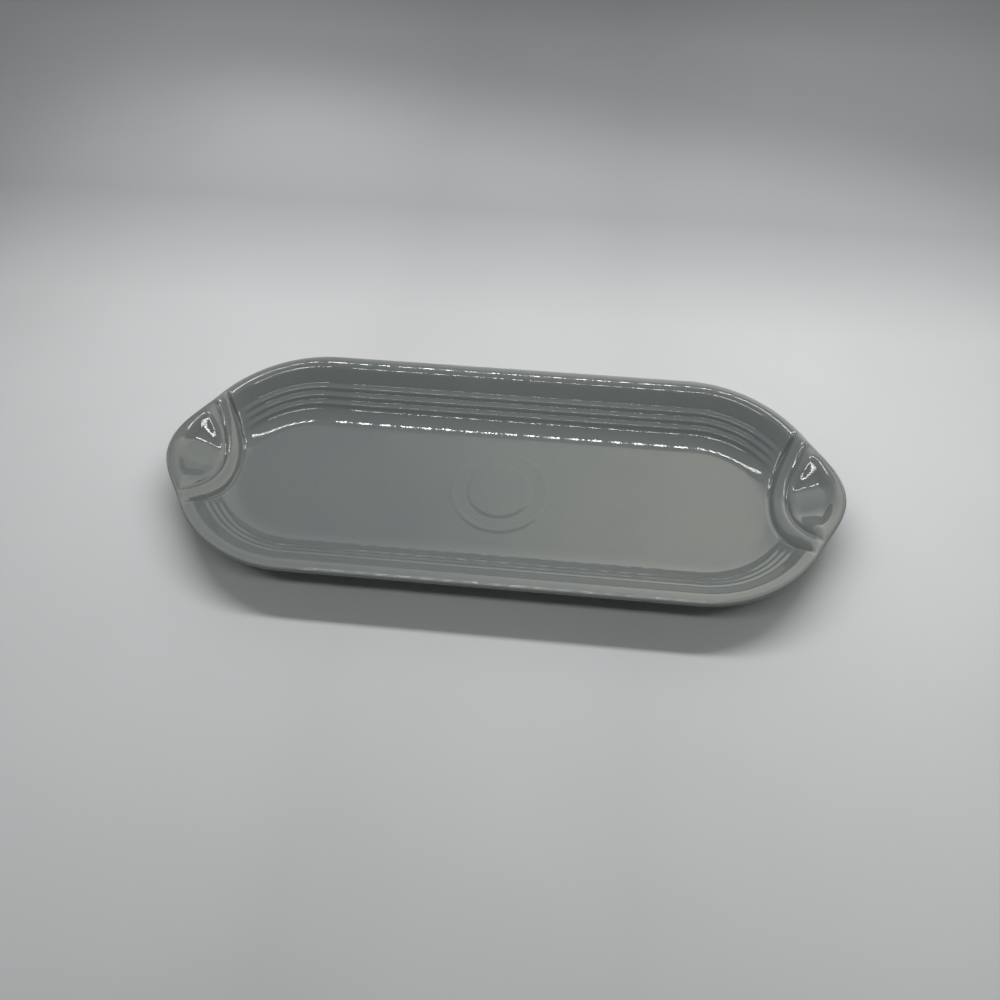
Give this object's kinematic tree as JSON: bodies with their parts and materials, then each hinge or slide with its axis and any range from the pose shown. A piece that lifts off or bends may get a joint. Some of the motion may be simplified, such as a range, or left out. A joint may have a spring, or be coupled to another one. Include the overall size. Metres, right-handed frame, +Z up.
{
  "type": "relish tray",
  "caption": "Long oval glazed pottery tray with a ridged sloping wall, rounded rim, lobed end handles with arc creases and a foot ring.",
  "frame": {"origin": "centre of the foot ring on the table, under the middle of the tray", "axes": "+X along the tray to one handle, +Y across it, +Z up"},
  "size_m": [0.2414, 0.0964, 0.0215],
  "materials": {
    "clay": "bare, dry",
    "glaze": "gloss"
  },
  "bodies": {
    "root": {"clay_body": "clay", "glaze_coat": "glaze", "underside_glaze": "glaze"}
  },
  "joints": []
}
